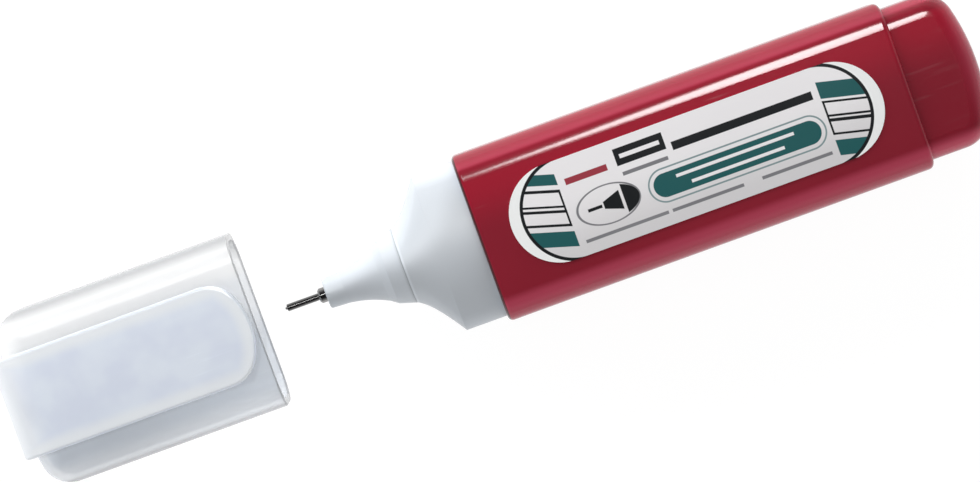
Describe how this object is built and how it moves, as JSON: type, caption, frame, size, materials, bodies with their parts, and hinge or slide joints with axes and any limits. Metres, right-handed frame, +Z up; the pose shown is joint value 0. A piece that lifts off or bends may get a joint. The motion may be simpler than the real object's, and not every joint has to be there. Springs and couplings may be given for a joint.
{
  "type": "correction pen",
  "caption": "Flat squeeze-bottle correction-fluid pen with a metal needle tip and valve, lying beside its taken-off translucent clip cap.",
  "frame": {"origin": "middle of the flat face that the barrel rests on", "axes": "+X along the pen from the tip to the tail, +Y across its wide face, +Z up out of the label"},
  "size_m": [0.1724, 0.0306, 0.0186],
  "materials": {
    "barrel": "glossy crimson",
    "label": "satin film",
    "shoulder": "satin white",
    "nose_cone": "satin white",
    "tip_ferrule": "turned",
    "tip_tube": "drawn",
    "valve_wire": "drawn",
    "valve_plunger": "moulded",
    "valve_spring": "coiled wire",
    "spring_seat": "moulded",
    "nose_seal": "soft",
    "mixing_ball": "polished",
    "cap": "milky translucent",
    "inner_cap": "satin white",
    "tip_pad": "soft"
  },
  "bodies": {
    "barrel": {"barrel": "barrel", "label": "label", "shoulder": "shoulder", "nose_cone": "nose_cone", "tip_ferrule": "tip_ferrule", "tip_tube": "tip_tube", "valve_spring": "valve_spring", "spring_seat": "spring_seat", "nose_seal": "nose_seal", "mixing_ball": "mixing_ball"},
    "valve": {"valve_wire": "valve_wire", "valve_plunger": "valve_plunger"},
    "cap": {"cap": "cap", "inner_cap": "inner_cap", "tip_pad": "tip_pad"}
  },
  "joints": [
    {"name": "cap_slide", "type": "slide", "parent": "barrel", "child": "cap", "axis": [1, 0, 0], "range_m": [0, 0.0397]},
    {"name": "valve_slide", "type": "slide", "parent": "barrel", "child": "valve", "axis": [1, 0, 0], "range_m": [0, 0.0003], "stiffness_N_per_m": 150, "springref_m": -0.001, "deforming": ["valve_spring"]}
  ]
}
